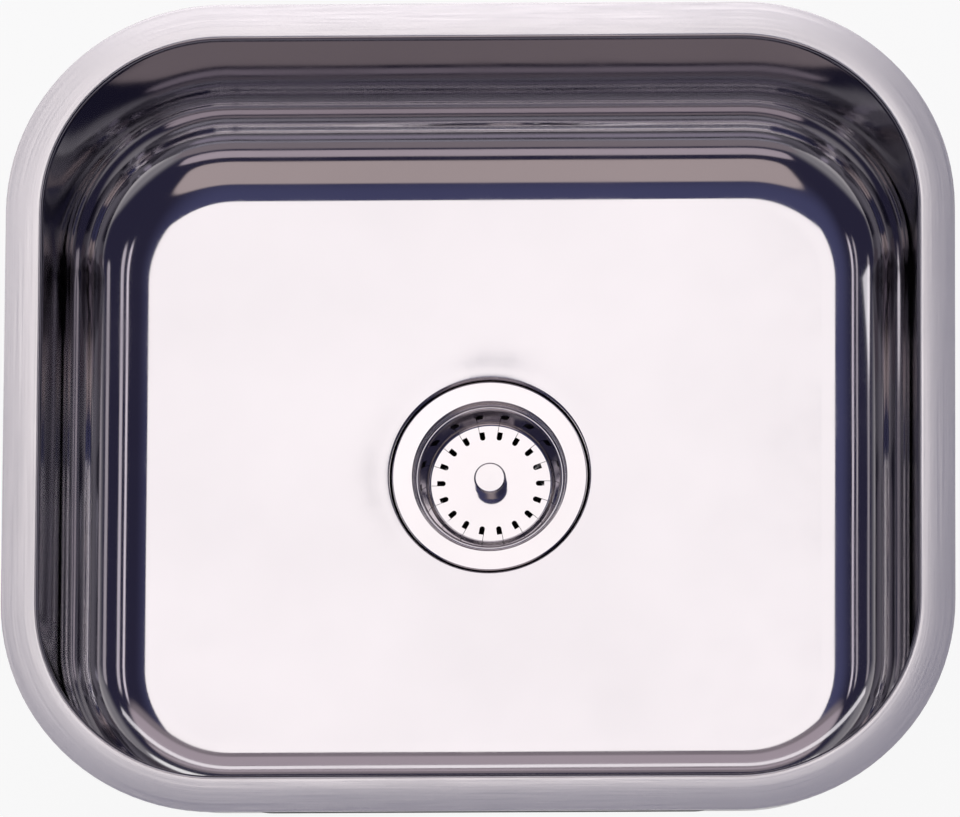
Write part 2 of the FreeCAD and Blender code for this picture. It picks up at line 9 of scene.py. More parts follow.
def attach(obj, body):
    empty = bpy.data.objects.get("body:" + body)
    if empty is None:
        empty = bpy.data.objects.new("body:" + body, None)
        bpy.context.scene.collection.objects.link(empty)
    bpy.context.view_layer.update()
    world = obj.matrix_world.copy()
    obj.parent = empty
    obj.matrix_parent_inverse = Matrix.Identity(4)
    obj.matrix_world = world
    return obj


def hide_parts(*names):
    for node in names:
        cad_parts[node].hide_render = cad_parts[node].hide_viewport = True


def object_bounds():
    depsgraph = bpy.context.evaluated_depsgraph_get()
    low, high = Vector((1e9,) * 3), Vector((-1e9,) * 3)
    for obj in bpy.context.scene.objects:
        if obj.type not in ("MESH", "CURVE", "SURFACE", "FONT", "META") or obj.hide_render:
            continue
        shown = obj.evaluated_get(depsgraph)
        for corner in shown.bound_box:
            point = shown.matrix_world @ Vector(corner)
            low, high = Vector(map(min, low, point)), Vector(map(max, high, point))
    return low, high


bl_info = {
    "name": "Undermount sink",
    "version": (1, 0, 0),
    "blender": (4, 5, 0),
    "location": "View3D > Sidebar > Sink",
    "description": "Dresses a stainless steel sink bowl, its basket strainer and its waste",
    "category": "Object",
}

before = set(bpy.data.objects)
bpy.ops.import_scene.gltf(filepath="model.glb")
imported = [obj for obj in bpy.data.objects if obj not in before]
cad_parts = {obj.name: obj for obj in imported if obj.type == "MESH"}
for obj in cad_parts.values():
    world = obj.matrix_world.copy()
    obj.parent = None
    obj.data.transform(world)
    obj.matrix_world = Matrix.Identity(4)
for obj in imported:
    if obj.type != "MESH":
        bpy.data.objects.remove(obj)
cad_box = [list(corner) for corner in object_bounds()]
MM = 0.001
PICTURE_WIDTH = 960.0
FLOOR_SIZE = 40.0
FLANGE_STEPS = 16
DISH_STEPS = 16
CUT = 4.0 * MM
# Heights between which the floor's steel blends into the painted shade of the walls.
PAINTED_SHADE_HEIGHTS = (-0.106, -0.088)
LOOKS = {}

# Cards in the dark of the studio: tone, strength, the left, right, front and back edge as X / Z and
# Y / Z of the direction, and the softness of the edge.
CARDS = (
    ("dusk", 1.0, -0.62, 0.22, -0.36, 0.80, 0.50),
    ("haze", 1.0, -0.50, 0.46, -1.04, -0.31, 0.06),
    ("horizon", 1.0, -0.80, 0.80, -1.80, -1.28, 0.06),
    ("horizon", 0.50, -1.4, 1.4, -3.4, -2.0, 0.10),
    ("horizon", 0.55, -0.80, 0.80, 0.52, 1.62, 0.08),
    ("horizon", 1.0, -0.80, 0.80, 0.65, 1.02, 0.10),
    ("horizon", 1.0, -0.80, 0.80, 1.27, 1.42, 0.08),
    ("horizon", 2.7, -1.2, 1.2, 2.0, 2.55, 0.10),
    ("horizon", 2.5, -1.2, 1.2, 2.85, 3.9, 0.10),
    ("gleam", 1.0, 0.705, 0.775, 0.02, 0.62, 0.20),
    ("gleam", 0.7, 0.90, 1.03, 0.02, 0.62, 0.20),
    ("gleam", 0.5, 1.80, 2.15, 0.30, 0.90, 0.15),
    ("gleam", 0.4, 2.9, 3.5, 0.40, 1.30, 0.15),
    ("gleam", 1.0, -0.905, -0.835, 0.02, 0.62, 0.20),
    ("gleam", 0.65, -1.10, -1.03, 0.02, 0.62, 0.20),
    ("gleam", 0.4, -2.1, -1.85, 0.30, 0.90, 0.15),
)


def length(name, description, millimetres):
    """A length property with its default in millimetres."""
    return FloatProperty(name=name, description=description, default=millimetres * MM, min=0.0,
                         precision=5, unit="LENGTH")


def height(name, description, millimetres):
    """A height above the flange top, with its default in millimetres."""
    return FloatProperty(name=name, description=description, default=millimetres * MM, precision=5,
                         unit="LENGTH")


def slant(name, description, degrees):
    return FloatProperty(name=name, description=description, default=math.radians(degrees),
                         subtype="ANGLE")


def count(name, description, number, least=1):
    return IntProperty(name=name, description=description, default=number, min=least)


def colour(name, description, rgb):
    return FloatVectorProperty(name=name, description=description, default=rgb, size=3, min=0.0,
                               max=1.0, subtype="COLOR")


class SinkBowlSizes(bpy.types.PropertyGroup):
    rim_length: length("Rim length", "Flange, outside, left to right", 530.0)
    rim_width: length("Rim width", "Flange, outside, front to back", 466.0)
    rim_corner: length("Rim corner", "Corner radius of the flange", 120.0)
    flange: length("Flange", "Edge of the flange to the wall", 21.0)
    crown: length("Crown", "Fall of the flange to its edge", 0.28)
    lip_fall: length("Lip fall", "Fall of the flange to its lip", 0.03)
    sheet: length("Sheet", "Steel sheet of the bowl", 1.0)
    lip: length("Lip", "Bend from the flange into the wall", 3.0)
    draft: slant("Draft", "Lean of the walls", 3.0)
    depth: length("Depth", "Flange top to the flat of the floor", 148.0)
    floor_bend: length("Floor bend", "Bend from the wall into the floor", 51.0)
    dish: length("Dish", "Radius of the shallow dish round the drain", 115.0)
    dish_fall: length("Dish fall", "Fall of the dish", 2.0)
    recess: length("Recess", "Radius of the pressed recess at its top", 57.0)
    recess_depth: length("Recess depth", "Recess below the dish", 4.0)
    recess_slope: length("Recess slope", "Sloping side of the recess from above", 1.4)
    recess_bend: length("Recess bend", "Bends at the top and foot of the recess", 0.8)
    drain: length("Drain", "Radius of the hole in the floor", 45.0)
    corner_steps: count("Corner steps", "Facets round each corner", 24, 6)
    bend_steps: count("Bend steps", "Facets round the floor bend", 28, 6)


class SinkStrainerSizes(bpy.types.PropertyGroup):
    top: height("Top", "Top of the strainer flange", -152.2)
    flange: length("Flange", "Radius of the strainer flange", 55.2)
    mouth: length("Mouth", "Radius of the cup's mouth", 43.5)
    ledge: length("Ledge", "Radius inside the ledge", 40.8)
    ledge_depth: length("Ledge depth", "Flange top to the ledge", 5.5)
    depth: length("Depth", "Flange top to the bottom of the cup", 40.0)
    floor_bend: length("Floor bend", "Bend into the bottom of the cup", 4.0)
    sheet: length("Sheet", "Steel sheet of the cup", 0.8)
    screw_hole: length("Screw hole", "Hole for the clamping screw", 6.4)
    outflow: length("Outflow", "Radius of the outflow holes", 5.0)
    outflow_ring: length("Outflow ring", "Radius of the ring of outflow holes", 18.0)
    outflows: count("Outflows", "Outflow holes in the bottom", 8)


class SinkBasketSizes(bpy.types.PropertyGroup):
    rim_top: height("Rim top", "Top of the basket's rim", -156.8)
    rim: length("Rim", "Radius of the rim, outside", 42.9)
    mouth: length("Mouth", "Radius inside at the top", 39.4)
    floor: length("Floor", "Radius inside at the floor", 35.4)
    depth: length("Depth", "Rim top to the floor", 11.5)
    bend: length("Bend", "Bend into the floor", 2.0)
    sheet: length("Sheet", "Steel sheet of the basket", 0.6)
    stem_hole: length("Stem hole", "Hole for the stem", 2.6)
    slots: count("Slots", "Slots round the floor", 18)
    slot_width: length("Slot width", "Width of a slot", 3.0)
    slot_ring: length("Slot ring", "Radius of the slots' inner ends", 25.5)
    slot_length: length("Slot length", "Slots from their rounded to their square end", 4.8)
    slit: length("Slit", "Fine cut from each slot to the wall", 0.3)
    knob: length("Knob", "Radius of the knob", 9.0)
    knob_height: length("Knob height", "Knob above the floor", 12.5)


class SinkPadSizes(bpy.types.PropertyGroup):
    thickness: length("Thickness", "Thickness of the pads", 2.5)
    corner: length("Corner", "Corner radius of the pads", 8.0)
    height: length("Height", "Height of the wall pads", 72.0)
    middle: length("Middle", "Middle of the wall pads below the flange", 58.0)
    long_side: length("Long side", "Length of the front and back pads", 250.0)
    short_side: length("Short side", "Length of the left and right pads", 190.0)
    floor_width: length("Floor width", "Width of the floor pads", 58.0)
    floor_length: length("Floor length", "Length of the floor pads", 200.0)
    floor_place: length("Floor place", "Floor pads, middle of the sink to their middle", 152.0)


class SinkWasteSizes(bpy.types.PropertyGroup):
    top: height("Top", "Top of the waste body", -158.0)
    funnel: height("Funnel", "Top of the funnel", -196.0)
    neck: height("Neck", "Foot of the funnel", -214.0)
    foot: height("Foot", "Foot of the outlet", -240.0)
    hub_top: height("Hub top", "Top of the hub", -193.0)
    hub_foot: height("Hub foot", "Foot of the hub", -210.0)
    rim: length("Rim", "Radius of the rim", 53.0)
    rim_height: length("Rim height", "Height of the rim", 6.0)
    body: length("Body", "Radius of the body", 48.5)
    bore: length("Bore", "Radius of the body's bore", 45.5)
    outlet: length("Outlet", "Radius over the outlet's thread", 23.9)
    outlet_bore: length("Outlet bore", "Radius of the outlet's bore", 20.0)
    thread_depth: length("Thread depth", "Depth of the outlet's thread", 1.4)
    pitch: length("Pitch", "Pitch of the outlet's thread", 2.309)
    turns: count("Turns", "Turns of the outlet's thread", 8)
    hub: length("Hub", "Radius of the hub", 12.5)
    screw_room: length("Screw room", "Radius of the hole for the screw", 6.4)
    insert_room: length("Insert room", "Radius of the seat of the insert", 9.1)
    web: length("Web", "Thickness of the webs", 3.0)
    web_height: length("Web height", "Height of the webs", 11.0)


class SinkStopperSizes(bpy.types.PropertyGroup):
    top: height("Top", "Top of the stopper", -181.4)
    web: height("Web", "Underside of the stopper's web", -184.4)
    foot: height("Foot", "Foot of the lip", -191.9)
    bore: length("Bore", "Radius of the hole for the stem", 2.6)
    shoulder: length("Shoulder", "Radius of the shoulder", 26.5)
    radius: length("Radius", "Radius of the lip", 28.5)
    lip: length("Lip", "Height of the lip", 3.0)
    skirt: length("Skirt", "Thickness of the skirt", 2.6)


class SinkFinishes(bpy.types.PropertyGroup):
    polished: colour("Polished steel", "Inside of the bowl", (0.76, 0.745, 0.755))
    # Painted shade: the walls get a darker, bluish steel colour that stands in for the dark studio they
    # mirror.
    walls: colour("Wall steel", "Inside of the bowl's walls", (0.26, 0.252, 0.295))
    satin: colour("Satin steel", "Flange of the bowl", (0.83, 0.808, 0.812))
    dull: colour("Dull steel", "Outside of the bowl", (0.52, 0.51, 0.52))
    strainer: colour("Strainer steel", "Cup, basket and knob", (0.82, 0.80, 0.80))
    fitting: colour("Fitting steel", "Screw, stem and nut", (0.62, 0.61, 0.61))
    pad: colour("Pad rubber", "Sound pads", (0.045, 0.046, 0.050))
    seal: colour("Seal rubber", "Gaskets, washer and stopper", (0.022, 0.022, 0.024))
    plastic: colour("White plastic", "Waste body and bush", (0.78, 0.78, 0.76))
    brass: colour("Brass", "Threaded insert", (0.66, 0.46, 0.19))


class SinkStudio(bpy.types.PropertyGroup):
    tilt: slant("Tilt", "Camera off the vertical, to the front", 15.4)
    sway: slant("Sway", "Camera off the vertical, to the right", 2.4)
    distance: FloatProperty(name="Distance", description="Camera to the middle of the rim",
                            default=10.0, unit="LENGTH")
    scale: FloatProperty(name="Scale", description="Picture points for each metre at the rim",
                         default=1797.5)
    floor: colour("Floor", "Pale floor", (0.92, 0.91, 0.92))
    night: colour("Night", "Dark of the studio", (0.024, 0.022, 0.048))
    skyline: colour("Skyline", "Pale ring low all round", (0.44, 0.42, 0.44))
    dusk: colour("Dusk", "Blue dark round the overhead box", (0.064, 0.066, 0.146))
    haze: colour("Haze", "Warm card in front of the sink", (0.44, 0.365, 0.37))
    horizon: colour("Horizon", "Grey cards low in front and behind", (0.43, 0.365, 0.415))
    gleam: colour("Gleam", "Thin strips at both sides", (0.84, 0.76, 0.86))


def settle():
    """Object mode with nothing selected."""
    if bpy.context.mode != "OBJECT":
        bpy.ops.object.mode_set(mode="OBJECT")
    bpy.ops.object.select_all(action="DESELECT")


def select_where(test, kind="FACE"):
    """Selects the faces, edges or corners of the edited mesh that pass a test."""
    bpy.ops.mesh.select_mode(type=kind)
    bpy.ops.mesh.select_all(action="DESELECT")
    mesh = bmesh.from_edit_mesh(bpy.context.object.data)
    parts = {"FACE": mesh.faces, "EDGE": mesh.edges, "VERT": mesh.verts}[kind]
    found = [part for part in parts if test(part)]
    if not found:
        raise RuntimeError("nothing to select on " + bpy.context.object.name)
    for part in found:
        part.select_set(True)
    mesh.select_flush_mode()
    bmesh.update_edit_mesh(bpy.context.object.data)


def add_modifier(obj, kind, **settings):
    """Adds a modifier, sets it and applies it."""
    settle()
    bpy.context.view_layer.objects.active = obj
    obj.select_set(True)
    modifier = obj.modifiers.new(kind.title(), kind)
    for key, value in settings.items():
        setattr(modifier, key, value)
    bpy.ops.object.modifier_apply(modifier=modifier.name)


def soften(obj, width, segments=2, angle=30.0):
    add_modifier(obj, "BEVEL", width=width, segments=segments, limit_method="ANGLE",
                 angle_limit=math.radians(angle), harden_normals=False)


def held(section, reach=0.25 * MM):
    """The section with a point close to both ends of each long stretch, so that flats stay flat."""
    points = []
    for first, last in zip(section, section[1:] + section[:1]):
        start, way = Vector(first), Vector(last) - Vector(first)
        points.append(tuple(first))
        if way.length > 4 * reach:
            points += [tuple(start + way.normalized() * d) for d in (reach, way.length - reach)]
    return points


def outline(name, section):
    """A closed outline through (radius, height) points, left in edit mode."""
    settle()
    bpy.ops.mesh.primitive_plane_add(size=MM)
    obj = bpy.context.object
    obj.name = obj.data.name = name
    bpy.ops.object.mode_set(mode="EDIT")
    bpy.ops.mesh.select_mode(type="VERT")
    bpy.ops.mesh.select_all(action="SELECT")
    bpy.ops.mesh.merge(type="CENTER")
    bpy.ops.transform.translate(value=(section[0][0], 0.0, section[0][1]))
    for (r0, z0), (r1, z1) in zip(section, section[1:] + section[:1]):
        bpy.ops.mesh.extrude_vertices_move(TRANSFORM_OT_translate={"value": (r1 - r0, 0.0, z1 - z0)})
    bpy.ops.mesh.select_all(action="SELECT")
    bpy.ops.mesh.remove_doubles(threshold=1e-6)
    return obj


def lathe(name, section, steps=96):
    """A closed section of (radius, height) points turned about the upright axis."""
    obj = outline(name, held(section))
    bpy.ops.mesh.spin(steps=steps, angle=2 * math.pi, center=(0, 0, 0), axis=(0, 0, 1))
    bpy.ops.mesh.select_all(action="SELECT")
    bpy.ops.mesh.remove_doubles(threshold=1e-6)
    bpy.ops.mesh.normals_make_consistent(inside=False)
    settle()
    return obj


def arc(middle, radius, first, last, steps):
    """Points of a bend in a section, angles in degrees."""
    turns = [math.radians(first + (last - first) * i / steps) for i in range(steps + 1)]
    return [(middle[0] + radius * math.cos(t), middle[1] + radius * math.sin(t)) for t in turns]


def block(size, middle):
    """A box of a size about a middle, left in edit mode."""
    settle()
    bpy.ops.mesh.primitive_cube_add(size=1.0)
    obj = bpy.context.object
    obj.scale, obj.location = size, middle
    bpy.ops.object.transform_apply(location=True, rotation=False, scale=True)
    bpy.ops.object.mode_set(mode="EDIT")
    return obj


def swing(turn):
    """Turns the edited mesh about the upright axis and leaves edit mode."""
    bpy.ops.mesh.select_all(action="SELECT")
    bpy.ops.transform.rotate(value=-turn, orient_axis="Z", center_override=(0.0, 0.0, 0.0))
    settle()


def bored(obj, cutters):
    """Cuts the cutters out of a piece and removes them."""
    settle()
    for cutter in cutters:
        cutter.select_set(True)
    bpy.context.view_layer.objects.active = cutters[0]
    if len(cutters) > 1:
        bpy.ops.object.join()
    tool = bpy.context.view_layer.objects.active
    add_modifier(obj, "BOOLEAN", object=tool, operation="DIFFERENCE", solver="EXACT")
    settle()
    tool.select_set(True)
    bpy.ops.object.delete()


def smooth(obj, angle=32.0):
    settle()
    bpy.context.view_layer.objects.active = obj
    obj.select_set(True)
    bpy.ops.object.shade_smooth_by_angle(angle=math.radians(angle))
    settle()


def hand_over(obj, body, node):
    """The piece rides on its body and stands for its solid."""
    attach(obj, body)
    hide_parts(node)


class Graph:
    """A node tree under construction."""

    def __init__(self, tree):
        self.nodes, self.links = tree.nodes, tree.links

    def node(self, kind, inputs=(), **settings):
        made = self.nodes.new(kind)
        for key, value in settings.items():
            setattr(made, key, value)
        for key, value in dict(inputs).items():
            if isinstance(value, bpy.types.NodeSocket):
                self.links.new(value, made.inputs[key])
            else:
                made.inputs[key].default_value = value
        return made

    def math(self, operation, *values):
        return self.node("ShaderNodeMath", dict(enumerate(values)), operation=operation).outputs[0]

    def spread(self, value, low, high, start=0.3, end=0.7, smooth=False):
        made = self.node("ShaderNodeMapRange", {"Value": value, "From Min": start, "From Max": end,
                                                "To Min": low, "To Max": high},
                         interpolation_type="SMOOTHSTEP" if smooth else "LINEAR")
        return made.outputs["Result"]

    def blend(self, share, first, second):
        made = self.node("ShaderNodeMix", {0: share}, data_type="RGBA")
        for socket, value in ((made.inputs[6], first), (made.inputs[7], second)):
            if isinstance(value, bpy.types.NodeSocket):
                self.links.new(value, socket)
            else:
                socket.default_value = (*value, 1.0)
        return made.outputs[2]


class Finish(Graph):
    """A material under construction: one Principled shader and what feeds it."""

    def __init__(self, name):
        self.material = bpy.data.materials.new(name)
        self.material.use_nodes = True
        super().__init__(self.material.node_tree)
        self.shader = self.nodes["Principled BSDF"]
        self.place = self.nodes.new("ShaderNodeTexCoord").outputs["Object"]

    def set(self, **values):
        for key, value in values.items():
            self.shader.inputs[key.replace("_", " ")].default_value = value

    def noise(self, scale, detail=3.0, roughness=0.55, stretch=(1, 1, 1), place=None):
        mapped = self.node("ShaderNodeMapping", {"Vector": place or self.place, "Scale": stretch})
        made = self.node("ShaderNodeTexNoise", {"Vector": mapped.outputs["Vector"], "Scale": scale,
                                                "Detail": detail, "Roughness": roughness})
        return made.outputs["Fac"]

    def shades(self, value, dark, light):
        return self.blend(self.spread(value, 0.0, 1.0), dark, light)

    def feed(self, **sockets):
        for key, socket in sockets.items():
            self.links.new(socket, self.shader.inputs[key.replace("_", " ")])

    def bump(self, height, strength, distance):
        made = self.node("ShaderNodeBump",
                         {"Height": height, "Strength": strength, "Distance": distance})
        self.links.new(made.outputs["Normal"], self.shader.inputs["Normal"])


def tone(rgb, factor):
    return tuple(min(1.0, c * factor) for c in rgb)


def polished_steel(name, rgb, low, high, wave=0.15, walls=None):
    """Bright sheet with an uneven gloss and the slow waves of drawn steel; its walls may take a painted
    shade.
    """
    finish = Finish(name)
    finish.set(Metallic=1.0)
    shade = finish.shades(finish.noise(7.0, 4.0), tone(rgb, 0.96), tone(rgb, 1.02))
    # Painted shade: above the floor the base colour turns to the darker, bluish wall colour, standing
    # in for the dark that the walls mirror.
    if walls:
        rise = finish.node("ShaderNodeSeparateXYZ", {0: finish.place}).outputs["Z"]
        shade = finish.blend(finish.spread(rise, 0.0, 1.0, *PAINTED_SHADE_HEIGHTS, smooth=True), shade, walls)
    finish.feed(Base_Color=shade)
    finish.feed(Roughness=finish.spread(finish.noise(22.0, 5.0, 0.6), low, high))
    finish.bump(finish.noise(9.0, 1.0, 0.4, stretch=(1.0, 1.0, 2.2)), wave, 0.0012)
    return finish.material


def satin_steel(name, rgb):
    """Sheet brushed along the rim: the strokes follow the piece's own map and scatter some light."""
    finish = Finish(name)
    finish.set(Metallic=0.72)
    along = finish.node("ShaderNodeUVMap", uv_map="rim").outputs["UV"]
    strokes = finish.noise(1.0, 3.0, 0.6, stretch=(9.0, 900.0, 1.0), place=along)
    broad = finish.noise(6.0, 3.0)
    finish.feed(Base_Color=finish.shades(broad, tone(rgb, 0.94), tone(rgb, 1.02)))
    finish.feed(Roughness=finish.spread(strokes, 0.15, 0.25))
    finish.bump(strokes, 0.10, 0.0002)
    return finish.material


def dull_steel(name, rgb):
    """Mill finish of the hidden side, slightly mottled."""
    finish = Finish(name)
    finish.set(Metallic=1.0)
    finish.feed(Base_Color=finish.shades(finish.noise(14.0, 5.0), tone(rgb, 0.88), tone(rgb, 1.08)))
    finish.feed(Roughness=finish.spread(finish.noise(60.0, 4.0), 0.36, 0.52))
    finish.bump(finish.noise(240.0, 3.0), 0.08, 0.0002)
    return finish.material


def turned_steel(name, rgb, low, high):
    """Bright turned metal with fine rings left by the tool."""
    finish = Finish(name)
    finish.set(Metallic=1.0)
    rings = finish.noise(1.0, 2.0, 0.5, stretch=(40.0, 40.0, 4000.0))
    finish.feed(Base_Color=finish.shades(finish.noise(30.0), tone(rgb, 0.94), tone(rgb, 1.04)))
    finish.feed(Roughness=finish.spread(rings, low, high))
    finish.bump(rings, 0.05, 0.0001)
    return finish.material


def rubber(name, rgb, low, high, grain):
    """Dull rubber, mottled and finely grained."""
    finish = Finish(name)
    finish.feed(Base_Color=finish.shades(finish.noise(40.0, 5.0), tone(rgb, 0.8), tone(rgb, 1.25)))
    finish.feed(Roughness=finish.spread(finish.noise(120.0, 4.0), low, high))
    finish.bump(finish.noise(grain, 3.0), 0.25, 0.0003)
    return finish.material


def moulded_plastic(name, rgb):
    """Half gloss plastic with a fine moulded grain."""
    finish = Finish(name)
    finish.set(IOR=1.49)
    finish.feed(Base_Color=finish.shades(finish.noise(18.0, 4.0), tone(rgb, 0.95), tone(rgb, 1.02)))
    finish.feed(Roughness=finish.spread(finish.noise(90.0, 4.0), 0.34, 0.48))
    finish.bump(finish.noise(420.0, 3.0), 0.10, 0.0003)
    return finish.material


def finishes():
    """All materials of the sink, made once."""
    if not LOOKS:
        rgb = bpy.context.scene.sink_finishes
        LOOKS.update({
            # The bowl's walls get the painted shade colour.
            "polished": polished_steel("polished_sheet", rgb.polished, 0.05, 0.10, walls=rgb.walls),
            "satin": satin_steel("satin_rim", rgb.satin),
            "dull": dull_steel("mill_underside", rgb.dull),
            "strainer": polished_steel("bright_strainer", rgb.strainer, 0.07, 0.12, 0.04),
            "turned": turned_steel("turned_bright", rgb.strainer, 0.08, 0.15),
            "fitting": turned_steel("turned_fitting", rgb.fitting, 0.22, 0.34),
            "brass": turned_steel("turned_brass", rgb.brass, 0.20, 0.32),
            "pad": rubber("grained_pad", rgb.pad, 0.62, 0.82, grain=500.0),
            "seal": rubber("moulded_rubber", rgb.seal, 0.42, 0.60, grain=900.0),
            "plastic": moulded_plastic("moulded_white", rgb.plastic),
        })
    return LOOKS


def dress(obj, look, body, node):
    """Finishes a piece of one material."""
    obj.data.materials.append(finishes()[look])
    smooth(obj)
    hand_over(obj, body, node)


def rim_map(obj, size):
    """A map whose U runs along the rim and whose V runs across it."""
    half_x = size.rim_length / 2 - size.rim_corner
    half_y = size.rim_width / 2 - size.rim_corner
    layer = obj.data.uv_layers.new(name="rim")
    turn = math.pi / 2 * size.rim_corner
    for loop in obj.data.loops:
        x, y, z = obj.data.vertices[loop.vertex_index].co
        dx, dy = max(abs(x) - half_x, 0.0), max(abs(y) - half_y, 0.0)
        if dx > 0 and dy > 0:
            angle = math.atan2(dy, dx)
            u = half_y + size.rim_corner * angle
            v = size.rim_corner - math.hypot(dx, dy)
        elif dx >= dy:
            u, v = abs(y), size.rim_corner - dx
        else:
            u, v = half_y + turn + half_x - abs(x), size.rim_corner - dy
        layer.data[loop.index].uv = (u * (1 if x * y >= 0 else -1), v - z)


class SINK_OT_bowl(bpy.types.Operator):
    """Press the bowl: flange, lip, drafted walls, bent floor, dish and recess"""
    bl_idname = "sink.bowl"
    bl_label = "Bowl"

    def execute(self, context):
        size = context.scene.sink_bowl
        settle()
        bpy.ops.mesh.primitive_plane_add(size=1.0, location=(0.0, 0.0, self.flange_level(size, 0.0)))
        obj = context.object
        obj.name = obj.data.name = "sink_bowl"
        bpy.ops.transform.resize(value=(size.rim_length, size.rim_width, 1.0))
        bpy.ops.object.transform_apply(location=True, rotation=False, scale=True)
        bpy.ops.object.mode_set(mode="EDIT")
        bpy.ops.mesh.select_mode(type="FACE")
        bpy.ops.mesh.select_all(action="SELECT")
        bpy.ops.mesh.bevel(offset=size.rim_corner, affect="VERTICES", segments=size.corner_steps,
                           profile=0.5, clamp_overlap=False)
        self.press(size)
        bpy.ops.mesh.delete(type="ONLY_FACE")
        bpy.ops.mesh.primitive_circle_add(vertices=4 * (size.corner_steps + 1), radius=size.dish,
                                          location=(0.0, 0.0, -size.depth))
        self.well(size)
        select_where(lambda e: e.is_boundary and abs(e.verts[0].co.z + size.depth) < 1e-5
                     and abs(e.verts[1].co.z + size.depth) < 1e-5, "EDGE")
        bpy.ops.mesh.bridge_edge_loops()
        bpy.ops.mesh.select_all(action="SELECT")
        bpy.ops.mesh.remove_doubles(threshold=1e-7)
        bpy.ops.mesh.normals_make_consistent(inside=False)
        mesh = bmesh.from_edit_mesh(obj.data)
        mesh.faces.ensure_lookup_table()
        if max(mesh.faces, key=lambda f: f.calc_center_median().z).normal.z < 0:
            bpy.ops.mesh.flip_normals()
        settle()
        satin_foot = -size.lip * 0.10
        for face in obj.data.polygons:
            face.material_index = 1 if face.center.z > satin_foot else 0
        look = finishes()
        for key in ("polished", "satin", "dull", "dull"):
            obj.data.materials.append(look[key])
        add_modifier(obj, "SOLIDIFY", thickness=size.sheet, offset=-1.0, use_even_offset=True,
                     use_rim=True, material_offset=2, material_offset_rim=1)
        rim_map(obj, size)
        smooth(obj, 40.0)
        hand_over(obj, "sink", "bowl")
        return {"FINISHED"}

    def flange_level(self, size, share):
        """The flange falls to its edge and, a little, to the lip."""
        ridge, curve = 0.75, 1.4
        if share < ridge:
            return size.lip_fall - size.crown * (1.0 - share / ridge) ** curve
        return size.lip_fall * (1.0 - ((share - ridge) / (1.0 - ridge)) ** 2)

    def press(self, size):
        """Insets the sheet along its section: flange, lip, wall and floor bend."""
        lean = math.degrees(size.draft)
        reach = math.tan(math.radians((90.0 - lean) / 2))
        lip_start = size.flange - size.lip * reach
        path = [(lip_start * i / FLANGE_STEPS, self.flange_level(size, i / FLANGE_STEPS))
                for i in range(1, FLANGE_STEPS)]
        path += arc((lip_start, -size.lip), size.lip, 90.0, lean, 10)
        foot = size.flange + size.depth * math.tan(size.draft)
        floor_edge = foot + size.floor_bend * reach
        bend = arc((floor_edge, size.floor_bend - size.depth), size.floor_bend, 180.0 + lean, 270.0,
                   size.bend_steps)
        top, low = path[-1], bend[0]
        path += [(top[0] + (low[0] - top[0]) * s, top[1] + (low[1] - top[1]) * s)
                 for s in (0.01, 0.34, 0.67, 0.99)]
        path += bend + [(floor_edge + 0.6 * MM, -size.depth), (floor_edge + 2.0 * MM, -size.depth)]
        across, level = 0.0, self.flange_level(size, 0.0)
        for x, z in path:
            if x - across > 1e-7:
                bpy.ops.mesh.inset(thickness=x - across, depth=z - level, use_even_offset=True)
                across, level = x, z

    def well(self, size):
        """The dish falls to the recess, and the recess to the hole, ring by ring."""
        drain_level = -size.depth - size.dish_fall
        section = [(size.dish, -size.depth)]
        span, steepening = size.dish - size.recess, 2.4
        shares = [(i + 0.5) / DISH_STEPS for i in range(DISH_STEPS)]
        slopes = [share ** steepening * math.sqrt(1.0 - share) for share in shares]
        for i in range(1, DISH_STEPS + 1):
            fall = size.dish_fall * sum(slopes[:i]) / sum(slopes)
            section.append((size.dish - span * i / DISH_STEPS, -size.depth - fall))
        slope = math.degrees(math.atan2(size.recess_depth, size.recess_slope))
        bend = size.recess_bend
        cut = bend * math.tan(math.radians(slope / 2))
        section[-1] = (size.recess + cut, drain_level)
        section += arc((size.recess + cut, drain_level - bend), bend, 90.0, 90.0 + slope, 6)[1:]
        foot = size.recess - size.recess_slope
        section += arc((foot - cut, drain_level - size.recess_depth + bend), bend,
                       270.0 + slope, 270.0, 6)
        section += [(foot - cut - 1.5 * MM, drain_level - size.recess_depth),
                    (size.drain, drain_level - size.recess_depth)]
        for (r0, z0), (r1, z1) in zip(section, section[1:]):
            bpy.ops.mesh.extrude_edges_move(TRANSFORM_OT_translate={"value": (0.0, 0.0, z1 - z0)})
            bpy.ops.transform.resize(value=(r1 / r0, r1 / r0, 1.0), center_override=(0.0, 0.0, z1))


def plate(name, length, width, thickness, corner, place):
    """A sheet with rounded corners and soft edges, laid at a place."""
    settle()
    bpy.ops.mesh.primitive_plane_add(size=1.0)
    obj = bpy.context.object
    obj.name = obj.data.name = name
    bpy.ops.transform.resize(value=(length, width, 1.0))
    bpy.ops.object.transform_apply(location=False, rotation=False, scale=True)
    bpy.ops.object.mode_set(mode="EDIT")
    bpy.ops.mesh.select_mode(type="FACE")
    bpy.ops.mesh.select_all(action="SELECT")
    bpy.ops.mesh.bevel(offset=corner, affect="VERTICES", segments=8, clamp_overlap=False)
    bpy.ops.mesh.extrude_region_move(TRANSFORM_OT_translate={"value": (0.0, 0.0, thickness)})
    bpy.ops.mesh.select_all(action="SELECT")
    bpy.ops.mesh.normals_make_consistent(inside=False)
    settle()
    soften(obj, 0.6 * MM, 3)
    obj.matrix_world = place
    settle()
    obj.select_set(True)
    bpy.context.view_layer.objects.active = obj
    bpy.ops.object.transform_apply(location=True, rotation=True, scale=True)
    return obj


